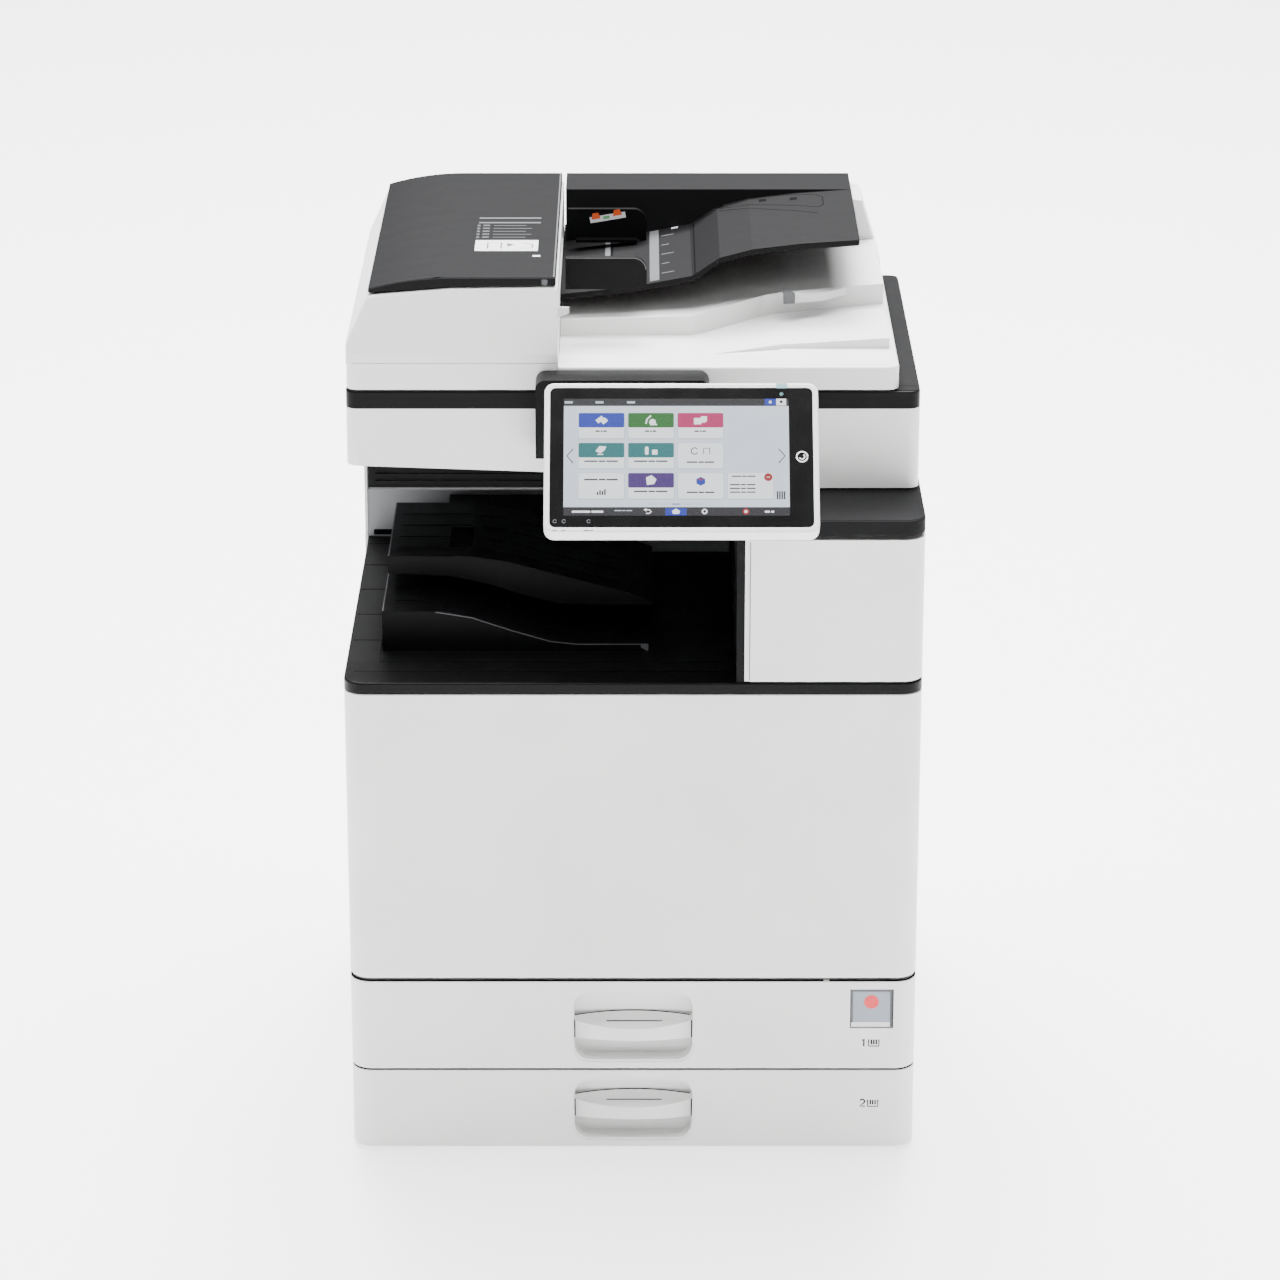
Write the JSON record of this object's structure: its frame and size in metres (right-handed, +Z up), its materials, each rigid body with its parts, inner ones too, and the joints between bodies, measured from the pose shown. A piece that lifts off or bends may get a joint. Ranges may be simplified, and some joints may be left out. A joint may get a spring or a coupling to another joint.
{
  "type": "photocopier",
  "caption": "Floor-standing office photocopier with paper drawers, a front door, a flatbed scanner under a document feeder, and a tilting touch panel.",
  "frame": {"origin": "on the floor, under the centre of the whole machine's box", "axes": "+Z up, the operator stands at -Y, +X to the operator's right"},
  "size_m": [0.587, 0.685, 0.913],
  "materials": {
    "white_plastic": "satin, fine grain",
    "dark_plastic": "fine grain",
    "black_plastic": "satin",
    "grey_plastic": "satin",
    "steel": "zinc plated",
    "rubber": "matte",
    "glass": "polished",
    "screen_glass": "glossy",
    "pad_foam": "white sheet over foam",
    "toner_black": "satin",
    "drum_coating": "glossy coating",
    "smoked_cover": "glossy",
    "signal_red": "glossy"
  },
  "bodies": {
    "frame": {"base_plate": "steel", "feet": "rubber", "left_frame": "steel", "right_frame": "steel", "rear_frame": "steel", "engine_floor": "steel", "drawer_rails": "grey_plastic", "switch_box": "dark_plastic", "left_cover": "white_plastic", "right_cover": "white_plastic", "rear_cover": "white_plastic", "power_inlet": "black_plastic", "door_hinges": "steel", "inner_cover": "grey_plastic", "drum_unit": "dark_plastic", "fuser_frame": "steel", "laser_unit": "dark_plastic", "exit_tray_base": "black_plastic", "lower_exit_tray": "black_plastic", "upper_exit_tray": "black_plastic", "exit_rear_wall": "grey_plastic", "wing_front_cover": "white_plastic", "wing_side_cover": "white_plastic", "wing_inner_wall": "dark_plastic", "wing_cap": "dark_plastic", "scanner_support": "dark_plastic", "scanner_case": "white_plastic", "scanner_frame": "black_plastic", "platen_glass": "glass", "feeder_hinges": "steel", "panel_bracket": "black_plastic"},
    "drawer_1": {"drawer_1_front": "white_plastic", "drawer_1_handle": "white_plastic", "drawer_1_tray": "grey_plastic"},
    "drawer_2": {"drawer_2_front": "white_plastic", "drawer_2_handle": "white_plastic", "drawer_2_tray": "grey_plastic"},
    "front_door": {"front_door": "white_plastic", "door_liner": "grey_plastic"},
    "power_button": {"power_button": "signal_red"},
    "power_flap": {"power_flap": "smoked_cover"},
    "side_door": {"side_door": "white_plastic"},
    "bypass_tray": {"bypass_tray": "white_plastic"},
    "toner_bottle": {"toner_bottle": "toner_black"},
    "photo_drum": {"photo_drum": "drum_coating"},
    "fuser_roller": {"fuser_roller": "rubber"},
    "pressure_roller": {"pressure_roller": "rubber"},
    "exit_roller": {"exit_roller": "rubber"},
    "lamp_carriage": {"lamp_carriage": "black_plastic"},
    "feeder": {"feeder_base": "white_plastic", "platen_pad": "pad_foam", "feeder_housing": "white_plastic", "input_tray": "dark_plastic", "document_exit_tray": "white_plastic"},
    "feeder_cover": {"feeder_cover": "dark_plastic"},
    "feed_roller": {"feed_roller": "rubber"},
    "front_guide": {"front_guide": "black_plastic"},
    "rear_guide": {"rear_guide": "black_plastic"},
    "panel": {"panel_case": "white_plastic", "panel_glass": "screen_glass"}
  },
  "joints": [
    {"name": "drawer_1_slide", "type": "slide", "parent": "frame", "child": "drawer_1", "axis": [0, -1, 0], "range_m": [0, 0.42]},
    {"name": "drawer_2_slide", "type": "slide", "parent": "frame", "child": "drawer_2", "axis": [0, -1, 0], "range_m": [0, 0.42]},
    {"name": "front_door_hinge", "type": "hinge", "parent": "frame", "child": "front_door", "pos_m": [0, -0.2505, 0.201], "axis": [1, 0, 0], "range_deg": [0, 90]},
    {"name": "power_button_press", "type": "slide", "parent": "frame", "child": "power_button", "axis": [0, 1, 0], "range_m": [0, 0.002], "stiffness_N_per_m": 400, "springref_m": -0.002},
    {"name": "power_flap_hinge", "type": "hinge", "parent": "frame", "child": "power_flap", "pos_m": [0.2475, -0.2543, 0.1818], "axis": [-1, 0, 0], "range_deg": [0, 80]},
    {"name": "side_door_hinge", "type": "hinge", "parent": "frame", "child": "side_door", "pos_m": [0.287, 0, 0.212], "axis": [0, 1, 0], "range_deg": [0, 40]},
    {"name": "bypass_tray_hinge", "type": "hinge", "parent": "side_door", "child": "bypass_tray", "pos_m": [0.29, 0, 0.254], "axis": [0, 1, 0], "range_deg": [0, 80]},
    {"name": "toner_bottle_spin", "type": "hinge", "parent": "frame", "child": "toner_bottle", "pos_m": [-0.175, 0, 0.425], "axis": [0, 1, 0], "continuous": true},
    {"name": "photo_drum_spin", "type": "hinge", "parent": "frame", "child": "photo_drum", "pos_m": [0.07, 0, 0.33], "axis": [0, 1, 0], "continuous": true},
    {"name": "fuser_roller_spin", "type": "hinge", "parent": "frame", "child": "fuser_roller", "pos_m": [0.176, 0, 0.452], "axis": [0, 1, 0], "continuous": true},
    {"name": "pressure_roller_spin", "type": "hinge", "parent": "frame", "child": "pressure_roller", "pos_m": [0.2116, 0, 0.452], "axis": [0, 1, 0], "continuous": true},
    {"name": "exit_roller_spin", "type": "hinge", "parent": "frame", "child": "exit_roller", "pos_m": [0.122, 0, 0.603], "axis": [0, 1, 0], "continuous": true},
    {"name": "lamp_carriage_slide", "type": "slide", "parent": "frame", "child": "lamp_carriage", "axis": [1, 0, 0], "range_m": [0, 0.4]},
    {"name": "feeder_hinge", "type": "hinge", "parent": "frame", "child": "feeder", "pos_m": [0, 0.3075, 0.812], "axis": [-1, 0, 0], "range_deg": [0, 60]},
    {"name": "feeder_cover_hinge", "type": "hinge", "parent": "feeder", "child": "feeder_cover", "pos_m": [-0.266, 0, 0.899], "axis": [0, -1, 0], "range_deg": [0, 60]},
    {"name": "feed_roller_spin", "type": "hinge", "parent": "feeder", "child": "feed_roller", "pos_m": [-0.15, 0, 0.868], "axis": [0, 1, 0], "continuous": true},
    {"name": "front_guide_slide", "type": "slide", "parent": "feeder", "child": "front_guide", "axis": [0, 1, 0], "range_m": [0, 0.08]},
    {"name": "rear_guide_slide", "type": "slide", "parent": "feeder", "child": "rear_guide", "axis": [0, 1, 0], "range_m": [-0.08, 0]},
    {"name": "panel_tilt", "type": "hinge", "parent": "frame", "child": "panel", "pos_m": [0.048, -0.2567, 0.7425], "axis": [1, 0, 0], "range_deg": [-15, 25]}
  ],
  "couplings": [
    {"joint": "pressure_roller_spin", "follows": "fuser_roller_spin", "ratio": -1},
    {"joint": "rear_guide_slide", "follows": "front_guide_slide", "ratio": -1}
  ]
}
